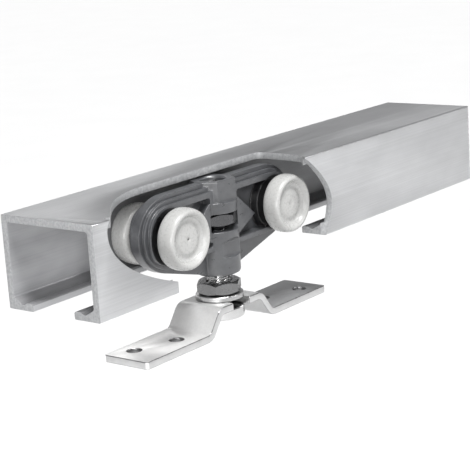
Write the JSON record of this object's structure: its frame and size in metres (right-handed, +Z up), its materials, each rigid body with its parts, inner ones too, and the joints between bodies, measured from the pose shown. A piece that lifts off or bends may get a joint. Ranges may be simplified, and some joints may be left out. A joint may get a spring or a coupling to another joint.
{
  "type": "top-hung sliding door trolley and track",
  "caption": "Cut-away length of aluminium sliding door track with a ball-bearing wheeled trolley, a height-adjusting hanger bolt and a slotted door plate.",
  "frame": {"origin": "on the track's top face, halfway between its walls and 200 mm from its near end, in the middle of the uncut stretch", "axes": "+X along the track towards the far end, +Y from the cut-away front wall to the back wall, +Z up"},
  "size_m": [0.266, 0.046, 0.066],
  "materials": {
    "aluminium": "extruded, milled bright at the cut edges",
    "grey_plastic": "glass-filled moulding, slight sheen",
    "white_nylon": "moulded nylon, soft gloss",
    "bearing_steel": "ground",
    "plated_steel": "bright zinc plate"
  },
  "bodies": {
    "track": {"track": "aluminium"},
    "trolley": {"trolley_body": "grey_plastic", "captive_nut": "plated_steel", "axle_left": "bearing_steel", "axle_right": "bearing_steel", "inner_race_front_left": "bearing_steel", "inner_race_front_right": "bearing_steel", "inner_race_rear_left": "bearing_steel", "inner_race_rear_right": "bearing_steel"},
    "wheel_front_left": {"tyre_front_left": "white_nylon", "cap_front_left": "white_nylon", "outer_race_front_left": "bearing_steel"},
    "wheel_front_right": {"tyre_front_right": "white_nylon", "cap_front_right": "white_nylon", "outer_race_front_right": "bearing_steel"},
    "wheel_rear_left": {"tyre_rear_left": "white_nylon", "cap_rear_left": "white_nylon", "outer_race_rear_left": "bearing_steel"},
    "wheel_rear_right": {"tyre_rear_right": "white_nylon", "cap_rear_right": "white_nylon", "outer_race_rear_right": "bearing_steel"},
    "cage_front_left": {"ball_cage_front_left": "bearing_steel"},
    "cage_front_right": {"ball_cage_front_right": "bearing_steel"},
    "cage_rear_left": {"ball_cage_rear_left": "bearing_steel"},
    "cage_rear_right": {"ball_cage_rear_right": "bearing_steel"},
    "hanger": {"washer": "plated_steel"},
    "bolt": {"hanger_bolt": "plated_steel"},
    "nut": {"lock_nut": "plated_steel"},
    "plate": {"hanger_plate": "plated_steel"}
  },
  "joints": [
    {"name": "trolley_slide", "type": "slide", "parent": "track", "child": "trolley", "axis": [1, 0, 0], "range_m": [-0.043, 0.12]},
    {"name": "wheel_spin_front_left", "type": "hinge", "parent": "trolley", "child": "wheel_front_left", "pos_m": [-0.1386, -0.012, -0.0202], "axis": [0, 1, 0], "continuous": true},
    {"name": "cage_spin_front_left", "type": "hinge", "parent": "trolley", "child": "cage_front_left", "pos_m": [-0.1386, -0.012, -0.0202], "axis": [0, 1, 0], "continuous": true},
    {"name": "wheel_spin_front_right", "type": "hinge", "parent": "trolley", "child": "wheel_front_right", "pos_m": [-0.0706, -0.012, -0.0202], "axis": [0, 1, 0], "continuous": true},
    {"name": "cage_spin_front_right", "type": "hinge", "parent": "trolley", "child": "cage_front_right", "pos_m": [-0.0706, -0.012, -0.0202], "axis": [0, 1, 0], "continuous": true},
    {"name": "wheel_spin_rear_left", "type": "hinge", "parent": "trolley", "child": "wheel_rear_left", "pos_m": [-0.1386, 0.012, -0.0202], "axis": [0, 1, 0], "continuous": true},
    {"name": "cage_spin_rear_left", "type": "hinge", "parent": "trolley", "child": "cage_rear_left", "pos_m": [-0.1386, 0.012, -0.0202], "axis": [0, 1, 0], "continuous": true},
    {"name": "wheel_spin_rear_right", "type": "hinge", "parent": "trolley", "child": "wheel_rear_right", "pos_m": [-0.0706, 0.012, -0.0202], "axis": [0, 1, 0], "continuous": true},
    {"name": "cage_spin_rear_right", "type": "hinge", "parent": "trolley", "child": "cage_rear_right", "pos_m": [-0.0706, 0.012, -0.0202], "axis": [0, 1, 0], "continuous": true},
    {"name": "height_adjust", "type": "slide", "parent": "trolley", "child": "hanger", "axis": [0, 0, 1], "range_m": [-0.006, 0.002]},
    {"name": "bolt_turn", "type": "hinge", "parent": "hanger", "child": "bolt", "pos_m": [-0.1046, 0, -0.04], "axis": [0, 0, 1], "continuous": true},
    {"name": "lock_nut_turn", "type": "hinge", "parent": "hanger", "child": "nut", "pos_m": [-0.1046, 0, -0.0488], "axis": [0, 0, 1], "continuous": true},
    {"name": "plate_unhook", "type": "slide", "parent": "hanger", "child": "plate", "axis": [0, 1, 0], "range_m": [0, 0.024]}
  ],
  "couplings": [
    {"joint": "wheel_spin_front_left", "follows": "trolley_slide", "rad_per_m": 80},
    {"joint": "cage_spin_front_left", "follows": "trolley_slide", "rad_per_m": 50.435},
    {"joint": "wheel_spin_front_right", "follows": "trolley_slide", "rad_per_m": 80},
    {"joint": "cage_spin_front_right", "follows": "trolley_slide", "rad_per_m": 50.435},
    {"joint": "wheel_spin_rear_left", "follows": "trolley_slide", "rad_per_m": 80},
    {"joint": "cage_spin_rear_left", "follows": "trolley_slide", "rad_per_m": 50.435},
    {"joint": "wheel_spin_rear_right", "follows": "trolley_slide", "rad_per_m": 80},
    {"joint": "cage_spin_rear_right", "follows": "trolley_slide", "rad_per_m": 50.435},
    {"joint": "bolt_turn", "follows": "height_adjust", "rad_per_m": 4188.8}
  ]
}
